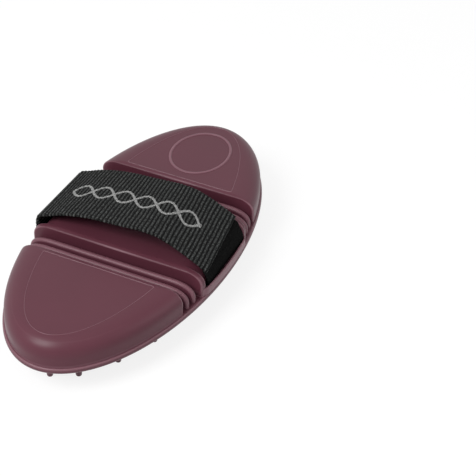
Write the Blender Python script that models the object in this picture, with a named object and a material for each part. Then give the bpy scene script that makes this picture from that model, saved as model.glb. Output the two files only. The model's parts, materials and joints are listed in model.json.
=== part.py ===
"""Rubber curry brush with a hand strap.

A toothed rubber sole carries three hollow rubber backs, each with a stiffening core inside.
Between the backs the sole is thin and the brush bends, over two low ridges at each side.
A webbing strap arches over the middle back. Its left end is held in a slot, and its free
right end sticks to a tape that comes out of the opposite slot.

Metres, +Z up. The teeth point down and their tips stand on z = 0. The long axis is X.
"""

import math

import bmesh
import bpy
import numpy as np
from mathutils import Matrix, Vector

# Whole brush
LENGTH = 0.180
WIDTH = 0.0874
OUTLINE_SIDES = 64

# Teeth and sole
TOOTH_HEIGHT = 0.0105
TOOTH_BASE_RADIUS = 0.0033
TOOTH_TIP_RADIUS = 0.0012
TOOTH_TIP_FLAT = 0.0007
TOOTH_SIDES = 8
# Shape of a tooth: how far down it has drawn in, how slim it is there, and where its tip starts
TOOTH_WAIST_HEIGHT_SHARE = 0.62
TOOTH_WAIST_SHARE = 0.62
TOOTH_TIP_START_SHARE = 0.07
PAD_RISE = 0.0015
SOLE_THICKNESS = 0.0026
SOLE_EDGE_ROUNDING = 0.0009
PAD_INSET = 0.0066

# Pattern of the teeth: number in the row, distance of the row from the centre line, and then
# on an end pad how far its first tooth stands behind that of the centre row, and on the middle
# pad where its last tooth stands as a share of the longest row
END_PITCH = 0.0108
FIRST_TOOTH_ROOM = 0.0021
END_ROWS = ((5, 0.0, 0.0), (4, 0.0104, 0.0054), (3, 0.0208, 0.0018), (1, 0.0284, 0.0056))
MIDDLE_ROWS = ((5, 0.0, 1.0), (4, 0.0111, 0.75), (5, 0.0222, 1.0), (3, 0.0336, 0.78))

# Rubber backs
BACK_HEIGHT = 0.0115
BACK_INSET = 0.0010
SHOULDER_RADIUS = 0.0076
SHOULDER_STEPS = 5
ROOF_THICKNESS = 0.0030
SIDE_WALL = 0.0046
END_WALL = 0.0026
CAVITY_ROUNDING = 0.0060

# Flexing zones between the backs
FLEX_PITCH = 0.0046
FLEX_GAP = 0.0004
PAD_CHANNEL = 0.0098
BACK_GROOVES = 0.0129
RIDGE_WIDTH = 0.0025
RIDGE_DROP = 0.0029
RIDGE_SIDE_DROP = 0.0006
RIDGE_ROUNDING = 0.0010

# Strap
STRAP_WIDTH = 0.0380
BAND_THICKNESS = 0.0016
PATCH_THICKNESS = 0.0008
TAPE_THICKNESS = 0.0010
PATCH_LENGTH = 0.0220
TAPE_LAP = 0.0240
HAND_GAP = 0.0102
POCKET_DEPTH = 0.0024
POCKET_ROUNDING = 0.0090
SLOT_SIDE_ROOM = 0.0004
SLOT_SILL = 0.0004
ROD_RADIUS = 0.0015
ROD_SHORTER = 0.0020
STRAP_END_ROOM = 0.00075
HEM_ROOM = 0.0013
HEM_TURN_DEGREES = 200
TAPE_LEAN_DEGREES = 40
TAPE_BEND = 0.0010
PATH_STEP = 0.0030

# Room between neighbouring pieces
CLEARANCE = 0.0003

# Shape of the strap's arch: share of the way out to the side wall, share of the hand gap
ARCH_SHARES = (
    (0.91, 0.07),
    (0.82, 0.22),
    (0.69, 0.45),
    (0.50, 0.68),
    (0.30, 0.82),
    (0.05, 0.90),
    (-0.12, 0.96),
    (-0.27, 1.00),
    (-0.42, 0.94),
    (-0.57, 0.73),
    (-0.72, 0.44),
    (-0.85, 0.15),
    (-0.905, 0.0),
)

HALF_LENGTH = LENGTH / 2
HALF_WIDTH = WIDTH / 2
PAD_FACE = TOOTH_HEIGHT
SOLE_BOTTOM = PAD_FACE + PAD_RISE
SOLE_TOP = SOLE_BOTTOM + SOLE_THICKNESS
BACK_BOTTOM = SOLE_TOP + CLEARANCE
BACK_TOP = BACK_BOTTOM + BACK_HEIGHT
FLEX_HEIGHT = SOLE_BOTTOM + SOLE_THICKNESS / 2
# The flexing zones lie just beyond the hollow that takes the strap
FLEX_CENTRE = STRAP_WIDTH / 2 + STRAP_END_ROOM + END_WALL + BACK_GROOVES / 2
MIDDLE_BACK_END = FLEX_CENTRE - BACK_GROOVES / 2
END_BACK_START = FLEX_CENTRE + BACK_GROOVES / 2
MIDDLE_PAD_END = FLEX_CENTRE - PAD_CHANNEL / 2
END_PAD_START = FLEX_CENTRE + PAD_CHANNEL / 2
END_FIRST_TOOTH = END_PAD_START + FIRST_TOOTH_ROOM
MIDDLE_LAST_TOOTH = MIDDLE_PAD_END - FIRST_TOOTH_ROOM
BACK_HALF_WIDTH = HALF_WIDTH - BACK_INSET
POCKET_FLOOR = BACK_HALF_WIDTH - POCKET_DEPTH
SLOT_HALF_LENGTH = STRAP_WIDTH / 2 + SLOT_SIDE_ROOM
SLOT_BOTTOM = BACK_BOTTOM + SLOT_SILL
TAIL_HEIGHT = SLOT_BOTTOM + CLEARANCE + BAND_THICKNESS / 2
SLOT_TOP = TAIL_HEIGHT + BAND_THICKNESS / 2 + CLEARANCE
HEM_RADIUS = ROD_RADIUS + CLEARANCE + BAND_THICKNESS / 2
ROD_LENGTH = STRAP_WIDTH - ROD_SHORTER
CAVITY_HALF_LENGTH = HALF_LENGTH - BACK_INSET - SIDE_WALL
CAVITY_HALF_WIDTH = BACK_HALF_WIDTH - SIDE_WALL
# Where the wall of the cavity stands beside the edge of the strap
CAVITY_AT_STRAP = CAVITY_HALF_WIDTH * math.sqrt(1 - (STRAP_WIDTH / 2 / CAVITY_HALF_LENGTH) ** 2)
ROD_Y = CAVITY_AT_STRAP - HEM_ROOM - HEM_RADIUS - BAND_THICKNESS / 2
STRAP_ROOM_Y = ROD_Y - HEM_RADIUS - BAND_THICKNESS / 2 - CLEARANCE
BAND_Y = POCKET_FLOOR + CLEARANCE + BAND_THICKNESS / 2
BAND_OUTSIDE_Y = BAND_Y + BAND_THICKNESS / 2
TAPE_Y = POCKET_FLOOR + CLEARANCE + TAPE_THICKNESS / 2

MAROON = (0.147, 0.062, 0.080)
DARK_MAROON = (0.110, 0.042, 0.056)
BLACK_WEBBING = (0.012, 0.012, 0.013)
GREY_CORE = (0.30, 0.30, 0.31)
ROD_STEEL = (0.55, 0.55, 0.56)


# Scene


def clear_scene():
    for obj in list(bpy.data.objects):
        bpy.data.objects.remove(obj, do_unlink=True)


def new_collection(name):
    collection = bpy.data.collections.new(name)
    bpy.context.scene.collection.children.link(collection)
    return collection


def new_material(name, colour, roughness, metallic=0.0):
    material = bpy.data.materials.new(name)
    material.use_nodes = True
    shader = material.node_tree.nodes["Principled BSDF"]
    shader.inputs["Base Color"].default_value = (*colour, 1.0)
    shader.inputs["Roughness"].default_value = roughness
    shader.inputs["Metallic"].default_value = metallic
    material.diffuse_color = (*colour, 1.0)
    return material


def add_object(name, mesh, collection, material=None):
    obj = bpy.data.objects.new(name, mesh)
    collection.objects.link(obj)
    if material:
        mesh.materials.clear()
        mesh.materials.append(material)
    return obj


def mesh_from(bm, name):
    bmesh.ops.recalc_face_normals(bm, faces=bm.faces)
    mesh = bpy.data.meshes.new(name)
    bm.to_mesh(mesh)
    bm.free()
    return mesh


def as_cutter(obj):
    obj.hide_render = True
    obj.display_type = "WIRE"
    return obj


def boolean(obj, operation, other):
    modifier = obj.modifiers.new(f"{operation.lower()}_{other.name}", "BOOLEAN")
    modifier.operation = operation
    modifier.solver = "EXACT"
    modifier.object = other
    return obj


def new_axis(name, location, parts, parent=None):
    axis = bpy.data.objects.new(name, None)
    axis.empty_display_size = 0.01
    parts.objects.link(axis)
    hang(axis, parent)
    axis.location = location
    return axis


def hang(obj, parent):
    """Parents obj where it stands, so that its mesh stays in world coordinates."""
    if parent:
        bpy.context.view_layer.update()
        obj.parent = parent
        obj.matrix_parent_inverse = parent.matrix_world.inverted()


# Basic solids


def box_mesh(name, low, high):
    bm = bmesh.new()
    bmesh.ops.create_cube(bm, size=1.0)
    size = Vector(high) - Vector(low)
    centre = (Vector(high) + Vector(low)) / 2
    bmesh.ops.scale(bm, vec=size, verts=bm.verts)
    bmesh.ops.translate(bm, vec=centre, verts=bm.verts)
    return mesh_from(bm, name)


def oval_mesh(name, half_x, half_y, low, high, top_rounding=0.0, bottom_rounding=0.0, steps=3):
    """An upright elliptical block, with its top and bottom edges rounded."""
    bm = bmesh.new()
    bmesh.ops.create_cone(
        bm, cap_ends=True, segments=OUTLINE_SIDES, radius1=1.0, radius2=1.0, depth=1.0
    )
    bmesh.ops.scale(bm, vec=(half_x, half_y, high - low), verts=bm.verts)
    bmesh.ops.translate(bm, vec=(0, 0, (high + low) / 2), verts=bm.verts)
    for level, rounding in ((high, top_rounding), (low, bottom_rounding)):
        if rounding <= 0:
            continue
        rim = [e for e in bm.edges if all(abs(v.co.z - level) < 1e-6 for v in e.verts)]
        bmesh.ops.bevel(
            bm, geom=rim, offset=rounding, segments=steps, profile=0.5, affect="EDGES"
        )
    return mesh_from(bm, name)


def slab(name, start, end, cutters):
    """A cutter that keeps the stretch of the brush from start to end along X."""
    reach = LENGTH
    return as_cutter(
        add_object(name, box_mesh(name, (start, -reach, -reach), (end, reach, reach)), cutters)
    )


def ribbon_mesh(name, path, thickness, half_width):
    """A strip across X that follows path, a list of (y, z) points along its middle."""
    points = np.array(path)
    tangent = np.gradient(points, axis=0)
    tangent /= np.linalg.norm(tangent, axis=1)[:, None]
    normal = np.stack([-tangent[:, 1], tangent[:, 0]], axis=1) * thickness / 2
    outline = np.concatenate([points + normal, (points - normal)[::-1]])
    bm = bmesh.new()
    count = len(points)
    rings = []
    for x in (-half_width, half_width):
        rings.append([bm.verts.new((x, y, z)) for y, z in outline])
    for i in range(2 * count):
        j = (i + 1) % (2 * count)
        bm.faces.new((rings[0][i], rings[0][j], rings[1][j], rings[1][i]))
    for ring in rings:
        for i in range(count - 1):
            bm.faces.new((ring[i], ring[i + 1], ring[-2 - i], ring[-1 - i]))
    return mesh_from(bm, name)


# Sole


def tooth_mesh():
    """One thorn: wide at the pad, drawn in quickly, then slim down to a small flat tip."""
    height = TOOTH_HEIGHT
    profile = (
        (TOOTH_BASE_RADIUS, height + PAD_RISE / 2),
        (TOOTH_BASE_RADIUS, height),
        (TOOTH_BASE_RADIUS * TOOTH_WAIST_SHARE, height * TOOTH_WAIST_HEIGHT_SHARE),
        (TOOTH_TIP_RADIUS, height * TOOTH_TIP_START_SHARE),
        (TOOTH_TIP_FLAT, 0.0),
    )
    bm = bmesh.new()
    verts = [bm.verts.new((radius, 0, z)) for radius, z in profile]
    edges = [bm.edges.new(pair) for pair in zip(verts, verts[1:])]
    bmesh.ops.spin(
        bm,
        geom=verts + edges,
        cent=(0, 0, 0),
        axis=(0, 0, 1),
        angle=2 * math.pi,
        steps=TOOTH_SIDES,
    )
    bmesh.ops.remove_doubles(bm, verts=bm.verts, dist=1e-6)
    bmesh.ops.holes_fill(bm, edges=[e for e in bm.edges if e.is_boundary], sides=0)
    return mesh_from(bm, "tooth")


def mirrored_rows(rows):
    """The rows on both sides of the centre line."""
    both = []
    for count, y, place in rows:
        for side in (1, -1) if y else (1,):
            both.append((count, side * y, place))
    return both


def on_pad(places):
    """The places that leave room for a tooth inside the edge of the pads."""
    reach_x = HALF_LENGTH - PAD_INSET - TOOTH_BASE_RADIUS / 2
    reach_y = HALF_WIDTH - PAD_INSET - TOOTH_BASE_RADIUS / 2
    return [(x, y) for x, y in places if (x / reach_x) ** 2 + (y / reach_y) ** 2 < 1]


def middle_tooth_places():
    places = []
    for count, y, share in mirrored_rows(MIDDLE_ROWS):
        last = share * MIDDLE_LAST_TOOTH
        for i in range(count):
            places.append((last * (2 * i / (count - 1) - 1), y))
    return on_pad(places)


def end_tooth_places(side):
    places = []
    for count, y, behind in mirrored_rows(END_ROWS):
        for i in range(count):
            places.append((side * (END_FIRST_TOOTH + behind + i * END_PITCH), y))
    return on_pad(places)


def teeth(name, places, cutters):
    """All the teeth of one pad, as loose solids that a union then joins to the pad."""
    one = tooth_mesh()
    bm = bmesh.new()
    for x, y in places:
        before = set(bm.verts)
        bm.from_mesh(one)
        new = [v for v in bm.verts if v not in before]
        bmesh.ops.translate(bm, vec=(x, y, 0), verts=new)
    bpy.data.meshes.remove(one)
    return as_cutter(add_object(name, mesh_from(bm, name), cutters))


def sole_plate(name, start, end, collection, cutters, material=None):
    mesh = oval_mesh(
        name,
        HALF_LENGTH,
        HALF_WIDTH,
        SOLE_BOTTOM,
        SOLE_TOP,
        SOLE_EDGE_ROUNDING,
        SOLE_EDGE_ROUNDING,
        2,
    )
    plate = add_object(name, mesh, collection, material)
    return boolean(plate, "INTERSECT", slab(f"{name}_stretch", start, end, cutters))


def toothed_sole(name, stretch, pad_stretch, places, parts, cutters, material):
    """A length of sole with its raised pad and its teeth."""
    plate = sole_plate(name, *stretch, parts, cutters, material)
    pad_name = f"{name}_pad"
    pad = add_object(
        pad_name,
        oval_mesh(
            pad_name,
            HALF_LENGTH - PAD_INSET,
            HALF_WIDTH - PAD_INSET,
            PAD_FACE,
            SOLE_BOTTOM + SOLE_THICKNESS / 2,
        ),
        cutters,
    )
    boolean(pad, "INTERSECT", slab(f"{pad_name}_stretch", *pad_stretch, cutters))
    boolean(plate, "UNION", as_cutter(pad))
    boolean(plate, "UNION", teeth(f"{name}_teeth", places, cutters))
    return plate


# Backs


def back_block(name, inset, top_inset, rounding, stretch, collection, cutters, material=None):
    """The rounded back, shrunk by inset all round and by top_inset above, over a stretch of X."""
    mesh = oval_mesh(
        name,
        HALF_LENGTH - BACK_INSET - inset,
        BACK_HALF_WIDTH - inset,
        BACK_BOTTOM,
        BACK_TOP - top_inset,
        rounding,
        0.0,
        SHOULDER_STEPS,
    )
    block = add_object(name, mesh, collection, material)
    return boolean(block, "INTERSECT", slab(f"{name}_stretch", *stretch, cutters))


def hollow(shell, name, stretch, cutters):
    """Takes the inside out of a back, open at the bottom."""
    cavity = back_block(
        name, SIDE_WALL, ROOF_THICKNESS, CAVITY_ROUNDING, stretch, cutters, cutters
    )
    mesh = cavity.data
    for vert in mesh.vertices:
        if vert.co.z < BACK_BOTTOM + 1e-6:
            vert.co.z -= CLEARANCE / 2
    return boolean(shell, "DIFFERENCE", as_cutter(cavity))


def core(name, stretch, parts, cutters, material):
    """The block that fills a back."""
    inset = SIDE_WALL + CLEARANCE
    roof = ROOF_THICKNESS + CLEARANCE
    return back_block(name, inset, roof, CAVITY_ROUNDING, stretch, parts, cutters, material)


def end_section(side, name, parts, cutters, materials, axis):
    def stretch(start):
        return sorted((side * start, side * LENGTH))

    sole_start = FLEX_CENTRE + FLEX_PITCH + FLEX_GAP / 2
    cavity_start = END_BACK_START + END_WALL
    shell = back_block(
        f"{name}_back",
        0,
        0,
        SHOULDER_RADIUS,
        stretch(END_BACK_START),
        parts,
        cutters,
        materials["rubber"],
    )
    hollow(shell, f"{name}_back_cavity", stretch(cavity_start), cutters)
    block = core(
        f"{name}_core", stretch(cavity_start + CLEARANCE), parts, cutters, materials["core"]
    )
    sole = toothed_sole(
        f"{name}_sole",
        stretch(sole_start),
        stretch(max(END_PAD_START, sole_start)),
        end_tooth_places(side),
        parts,
        cutters,
        materials["sole"],
    )
    for piece in (shell, block, sole):
        hang(piece, axis)


def middle_section(parts, cutters, materials):
    shell = back_block(
        "middle_back",
        0,
        0,
        SHOULDER_RADIUS,
        (-MIDDLE_BACK_END, MIDDLE_BACK_END),
        parts,
        cutters,
        materials["rubber"],
    )
    cavity_end = MIDDLE_BACK_END - END_WALL
    hollow(shell, "middle_back_cavity", (-cavity_end, cavity_end), cutters)
    for side, name in ((1, "left"), (-1, "right")):
        boolean(shell, "DIFFERENCE", strap_pocket(side, f"{name}_strap_pocket", cutters))
        boolean(shell, "DIFFERENCE", strap_slot(side, f"{name}_strap_slot", cutters))
    core_end = cavity_end - CLEARANCE
    block = core("middle_core", (-core_end, core_end), parts, cutters, materials["core"])
    for side, name in ((1, "left"), (-1, "right")):
        room = side_box(
            f"{name}_strap_room", side, LENGTH, STRAP_ROOM_Y, 0, LENGTH, cutters
        )
        boolean(block, "DIFFERENCE", room)
    sole_end = FLEX_CENTRE - FLEX_PITCH - FLEX_GAP / 2
    pad_end = min(MIDDLE_PAD_END, sole_end)
    toothed_sole(
        "middle_sole",
        (-sole_end, sole_end),
        (-pad_end, pad_end),
        middle_tooth_places(),
        parts,
        cutters,
        materials["sole"],
    )


def side_box(name, side, half_length, inner, bottom, top, cutters):
    """A cutter on one long side of the brush, from inner outwards."""
    low, high = sorted((side * inner, side * WIDTH))
    mesh = box_mesh(name, (-half_length, low, bottom), (half_length, high, top))
    return as_cutter(add_object(name, mesh, cutters))


def strap_pocket(side, name, cutters):
    """What lies outside a slimmer and rounder back: the recess that the strap lies in."""
    pocket = side_box(name, side, SLOT_HALF_LENGTH, 0, SLOT_BOTTOM, LENGTH, cutters)
    former_name = f"{name}_former"
    former = oval_mesh(
        former_name,
        HALF_LENGTH - BACK_INSET - POCKET_DEPTH,
        POCKET_FLOOR,
        0,
        BACK_TOP,
        POCKET_ROUNDING,
        0,
        SHOULDER_STEPS,
    )
    keep_top = side_box(
        f"{name}_top", -side, LENGTH, -(POCKET_FLOOR - POCKET_ROUNDING), 0, LENGTH, cutters
    )
    boolean(pocket, "DIFFERENCE", as_cutter(add_object(former_name, former, cutters)))
    return boolean(pocket, "DIFFERENCE", keep_top)


def strap_slot(side, name, cutters):
    return side_box(
        name, side, SLOT_HALF_LENGTH, STRAP_ROOM_Y, SLOT_BOTTOM, SLOT_TOP, cutters
    )


# Flexing zones


def back_outline(half_width, top, shoulder, steps):
    """Half of the section across a back, from the middle of its top to the foot of its side."""
    points = [(0.0, top)]
    for i in range(steps + 1):
        angle = math.pi / 2 * i / steps
        y = half_width - shoulder + shoulder * math.sin(angle)
        points.append((y, top - shoulder + shoulder * math.cos(angle)))
    points.append((half_width, BACK_BOTTOM))
    return points


def ridge(name, x, parts, material):
    """A rib across the back and down both sides, with its edges rounded."""
    share = math.sqrt(1 - (x / (HALF_LENGTH - BACK_INSET)) ** 2)
    half_width = BACK_HALF_WIDTH * share - RIDGE_SIDE_DROP
    half = back_outline(half_width, BACK_TOP - RIDGE_DROP, SHOULDER_RADIUS, SHOULDER_STEPS + 1)
    outline = half + [(-y, z) for y, z in reversed(half[1:])]
    bm = bmesh.new()
    face = bm.faces.new([bm.verts.new((x - RIDGE_WIDTH / 2, y, z)) for y, z in outline])
    made = bmesh.ops.extrude_face_region(bm, geom=[face])["geom"]
    moved = [item for item in made if isinstance(item, bmesh.types.BMVert)]
    bmesh.ops.translate(bm, vec=(RIDGE_WIDTH, 0, 0), verts=moved)
    floor = BACK_BOTTOM + 1e-6
    crests = [
        e
        for e in bm.edges
        if abs(e.verts[0].co.x - e.verts[1].co.x) < 1e-6
        and not all(v.co.z < floor for v in e.verts)
    ]
    bmesh.ops.bevel(
        bm, geom=crests, offset=RIDGE_ROUNDING, segments=2, profile=0.5, affect="EDGES"
    )
    return add_object(name, mesh_from(bm, name), parts, material)


def flex_zone(side, name, parts, cutters, materials):
    """Three bending lines across the brush. Returns the axis that the end section turns on."""
    parent = None
    for place, offset in (("inner", -1), ("middle", 0), ("outer", 1)):
        x = side * (FLEX_CENTRE + offset * FLEX_PITCH)
        parent = new_axis(f"{name}_flex_{place}", (x, 0, FLEX_HEIGHT), parts, parent)
        if offset == 1:
            break
        strip = "inner" if offset == -1 else "outer"
        near = x + side * FLEX_GAP / 2
        far = x + side * (FLEX_PITCH - FLEX_GAP / 2)
        web = sole_plate(
            f"{name}_web_{strip}", *sorted((near, far)), parts, cutters, materials["sole"]
        )
        rib = ridge(f"{name}_ridge_{strip}", x + side * FLEX_PITCH / 2, parts, materials["rubber"])
        hang(web, parent)
        hang(rib, parent)
    return parent


# Strap


def smooth_path(points, spacing):
    """A Catmull-Rom curve through the points, at about equal steps."""
    fixed = np.array(points)
    padded = np.concatenate([[2 * fixed[0] - fixed[1]], fixed, [2 * fixed[-1] - fixed[-2]]])
    fine = []
    for a, b, c, d in zip(padded, padded[1:], padded[2:], padded[3:]):
        for t in np.linspace(0, 1, 12, endpoint=False):
            fine.append(
                0.5 * (2 * b + (c - a) * t + (2 * a - 5 * b + 4 * c - d) * t**2
                       + (3 * b - a - 3 * c + d) * t**3)
            )
    fine.append(fixed[-1])
    fine = np.array(fine)
    along = np.concatenate([[0], np.cumsum(np.linalg.norm(np.diff(fine, axis=0), axis=1))])
    even = np.linspace(0, along[-1], max(3, round(along[-1] / spacing) + 1))
    return np.stack([np.interp(even, along, fine[:, i]) for i in (0, 1)], axis=1)


def band_path():
    """The middle of the band's thickness, from the left slot over the hand to its free end."""
    heights = (SLOT_TOP, BACK_TOP - SHOULDER_RADIUS, BACK_TOP - BAND_THICKNESS)
    rise = [(BAND_Y, height) for height in heights]
    middle = BACK_TOP + BAND_THICKNESS / 2
    arch = [(out * HALF_WIDTH, middle + HAND_GAP * height) for out, height in ARCH_SHARES]
    return smooth_path([*rise, *arch], PATH_STEP)


def stretch_from_end(path, start, end):
    """The part of path between two distances measured back from its end."""
    steps = np.linalg.norm(np.diff(path, axis=0), axis=1)
    back = np.concatenate([[0], np.cumsum(steps[::-1])])
    reverse = path[::-1]
    wanted = np.linspace(start, end, max(3, round((end - start) / PATH_STEP) + 1))
    return np.stack([np.interp(wanted, back, reverse[:, i]) for i in (0, 1)], axis=1)


def offset_path(path, distance):
    tangent = np.gradient(path, axis=0)
    tangent /= np.linalg.norm(tangent, axis=1)[:, None]
    return path + np.stack([-tangent[:, 1], tangent[:, 0]], axis=1) * distance


def hem_path(side, thickness):
    """From just inside the slot in to the rod, and once round it."""
    radius = ROD_RADIUS + CLEARANCE + thickness / 2
    centre_z = TAIL_HEIGHT + radius
    points = []
    for angle in np.linspace(-90, HEM_TURN_DEGREES, 13):
        turn = math.radians(angle)
        points.append((side * (ROD_Y - radius * math.cos(turn)), centre_z + radius * math.sin(turn)))
    return points


def tape_path(lap):
    """From the rod out of the slot, up the pocket's floor, and on along lap under the band."""
    corner = [
        (-TAPE_Y + 3 * TAPE_BEND, TAIL_HEIGHT),
        (-TAPE_Y + 1.2 * TAPE_BEND, TAIL_HEIGHT),
        (-TAPE_Y + 0.3 * TAPE_BEND, TAIL_HEIGHT + 0.3 * TAPE_BEND),
    ]
    rise = [(-TAPE_Y, TAIL_HEIGHT + 1.2 * TAPE_BEND)]
    arc_y = POCKET_FLOOR - POCKET_ROUNDING
    arc_radius = TAPE_Y - arc_y
    for angle in np.linspace(0, TAPE_LEAN_DEGREES, 4):
        turn = math.radians(angle)
        rise.append(
            (
                -(arc_y + arc_radius * math.cos(turn)),
                BACK_TOP - POCKET_ROUNDING + arc_radius * math.sin(turn),
            )
        )
    hem = list(reversed(hem_path(-1, TAPE_THICKNESS)))
    return [*hem, *corner, *smooth_path([*rise, *lap], PATH_STEP)]


def strap(parts, materials):
    """The band and its hook patch, which fold open, and the tail and loop tape, which stay."""
    half = STRAP_WIDTH / 2
    axis = new_axis(
        "strap_fold", (0, BAND_OUTSIDE_Y + CLEARANCE / 2, SLOT_TOP - CLEARANCE / 2), parts
    )
    band = band_path()
    patch_depth = BAND_THICKNESS / 2 + CLEARANCE + PATCH_THICKNESS / 2
    patch = offset_path(stretch_from_end(band, CLEARANCE, PATCH_LENGTH), -patch_depth)
    tape_depth = patch_depth + PATCH_THICKNESS / 2 + CLEARANCE + TAPE_THICKNESS / 2
    lap = offset_path(stretch_from_end(band, 0.0, TAPE_LAP), -tape_depth)
    tail = [(BAND_OUTSIDE_Y, TAIL_HEIGHT), (ROD_Y + HEM_RADIUS, TAIL_HEIGHT)]
    tail += hem_path(1, BAND_THICKNESS)
    for name, path, thickness, half_width, parent in (
        ("strap_band", band, BAND_THICKNESS, half, axis),
        ("strap_hook_patch", patch, PATCH_THICKNESS, half - CLEARANCE, axis),
        ("strap_tail", tail, BAND_THICKNESS, half, None),
        ("strap_loop_tape", tape_path(lap), TAPE_THICKNESS, half - CLEARANCE, None),
    ):
        mesh = ribbon_mesh(name, path, thickness, half_width)
        hang(add_object(name, mesh, parts, materials["webbing"]), parent)
    for side, name, thickness in ((1, "left", BAND_THICKNESS), (-1, "right", TAPE_THICKNESS)):
        height = TAIL_HEIGHT + ROD_RADIUS + CLEARANCE + thickness / 2
        rod = rod_mesh(f"strap_rod_{name}", side * ROD_Y, height)
        add_object(f"strap_rod_{name}", rod, parts, materials["rod"])


def rod_mesh(name, y, z):
    bm = bmesh.new()
    bmesh.ops.create_cone(
        bm, cap_ends=True, segments=12, radius1=ROD_RADIUS, radius2=ROD_RADIUS, depth=ROD_LENGTH
    )
    place = Matrix.Translation((0, y, z)) @ Matrix.Rotation(math.pi / 2, 4, "Y")
    bmesh.ops.transform(bm, matrix=place, verts=bm.verts)
    return mesh_from(bm, name)


def main():
    clear_scene()
    parts = new_collection("curry_brush")
    cutters = new_collection("curry_brush_cutters")
    materials = {
        "rubber": new_material("maroon_rubber", MAROON, 0.45),
        "sole": new_material("dark_maroon_rubber", DARK_MAROON, 0.5),
        "webbing": new_material("black_webbing", BLACK_WEBBING, 0.85),
        "core": new_material("grey_core", GREY_CORE, 0.6),
        "rod": new_material("rod_steel", ROD_STEEL, 0.35, 1.0),
    }
    middle_section(parts, cutters, materials)
    for side, name in ((1, "front"), (-1, "rear")):
        axis = flex_zone(side, name, parts, cutters, materials)
        end_section(side, name, parts, cutters, materials, axis)
    strap(parts, materials)
    for obj in parts.objects:
        if obj.type == "MESH":
            obj.data.shade_smooth()
            obj.data.set_sharp_from_angle(angle=math.radians(35))


main()
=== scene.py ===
# %% [markdown]
# # A rubber curry brush, dressed over its frame
#
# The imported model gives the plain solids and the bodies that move. This file puts the finished
# surfaces over them: moulded rubber backs, thin ridges that bend, a toothed sole and a webbing
# hand strap. Every length is in metres and in the same frame as the solids: X runs along the
# brush, +Y is the side where the strap hinges, and the teeth stand on z = 0.

# %% Load the frame
import json

import bpy
import numpy as np
from mathutils import Matrix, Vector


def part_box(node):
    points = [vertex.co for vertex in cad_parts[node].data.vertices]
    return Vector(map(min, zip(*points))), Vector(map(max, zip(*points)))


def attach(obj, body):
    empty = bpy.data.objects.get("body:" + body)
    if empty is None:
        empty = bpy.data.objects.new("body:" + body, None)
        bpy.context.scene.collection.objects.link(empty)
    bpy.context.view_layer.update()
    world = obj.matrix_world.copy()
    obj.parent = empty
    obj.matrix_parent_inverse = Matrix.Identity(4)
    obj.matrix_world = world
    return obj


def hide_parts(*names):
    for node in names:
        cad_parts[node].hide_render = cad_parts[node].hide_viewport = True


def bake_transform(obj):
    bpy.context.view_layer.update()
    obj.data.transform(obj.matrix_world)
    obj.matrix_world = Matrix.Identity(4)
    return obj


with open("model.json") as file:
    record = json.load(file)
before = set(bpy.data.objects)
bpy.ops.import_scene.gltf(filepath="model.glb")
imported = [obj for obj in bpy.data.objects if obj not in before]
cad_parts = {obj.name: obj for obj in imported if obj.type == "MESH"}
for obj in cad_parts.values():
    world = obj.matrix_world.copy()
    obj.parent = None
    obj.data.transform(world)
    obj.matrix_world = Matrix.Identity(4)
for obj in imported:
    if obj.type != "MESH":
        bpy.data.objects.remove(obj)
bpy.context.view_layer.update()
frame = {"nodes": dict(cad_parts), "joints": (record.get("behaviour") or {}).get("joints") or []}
MM = 0.001

# %% [markdown]
# ## Where things are
#
# The dressed pieces must sit on the same planes as the solids, so the levels are read from the
# boxes of the solids and only the shapes between them are new. The oval is an ellipse, and the
# grooves are straight cuts across it.

# %% Levels and lengths
HALF_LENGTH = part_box("front_sole")[1].x
HALF_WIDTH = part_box("middle_sole")[1].y
SOLE_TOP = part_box("middle_sole")[1].z
PAD_FACE = 10.5 * MM
BACK_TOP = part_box("middle_back")[1].z
BACK_INSET = HALF_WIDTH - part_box("middle_back")[1].y
MIDDLE_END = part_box("middle_back")[1].x
END_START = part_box("front_back")[0].x
FLEX_LINES = [joint["pos_m"][0] for joint in frame["joints"] if "front_flex" in joint["name"]]
FLEX_LINES = sorted(FLEX_LINES)
print("bending lines at", [round(x / MM, 2) for x in FLEX_LINES], "mm")

# %% [markdown]
# ## Closed surfaces from a stack of outlines
#
# A moulded block is easiest to describe as a pile of closed outlines, each a little smaller or
# larger than the next. Here the pile starts at a point in the middle of the top, spreads out,
# goes down the side and comes back in underneath. Neighbouring outlines have the same number of
# points, so quads join them, and a fan of triangles closes each end. A Subdivision Surface on a
# box could give soft blocks too, but its radii could not be set in millimetres.

# %% Mesh helpers
def linked(name, data):
    """A new object for the data, put into the scene."""
    made = bpy.data.objects.new(name, data)
    bpy.context.scene.collection.objects.link(made)
    return made


def new_mesh(name, points, quads, triangles=()):
    """Puts arrays of points and faces into a mesh object with smooth shading."""
    mesh = bpy.data.meshes.new(name)
    faces = [tuple(f) for f in np.asarray(quads).tolist()]
    faces += [tuple(f) for f in np.asarray(triangles).reshape(-1, 3).tolist()]
    mesh.from_pydata(np.asarray(points).tolist(), [], faces)
    mesh.update()
    mesh.shade_smooth()
    return linked(name, mesh)


def grid_quads(rows, columns, first=0):
    """Corner numbers of the quads between rows of points that close on themselves."""
    row = np.arange(rows - 1)[:, None] * columns + first
    here = np.arange(columns)[None]
    there = (here + 1) % columns
    corners = [row + here, row + columns + here, row + columns + there, row + there]
    return np.stack(corners, -1).reshape(-1, 4)


def closed_stack(rings, first=0):
    """Points, quads and triangles of a pile of rings, shape (rings, points, 3), with a fan to
    the average point of the first ring and another to that of the last."""
    rings = np.asarray(rings, float)
    count, size = rings.shape[:2]
    ends = np.stack([rings[0].mean(0), rings[-1].mean(0)])
    points = np.concatenate([rings.reshape(-1, 3), ends])
    quads = grid_quads(count, size, first)
    here = np.arange(size)
    there = (here + 1) % size
    top = np.stack([np.full(size, count * size), here, there], -1)
    last = (count - 1) * size
    bottom = np.stack([last + here, np.full(size, count * size + 1), last + there], -1)
    return points, quads, np.concatenate([top, bottom]) + first


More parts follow.
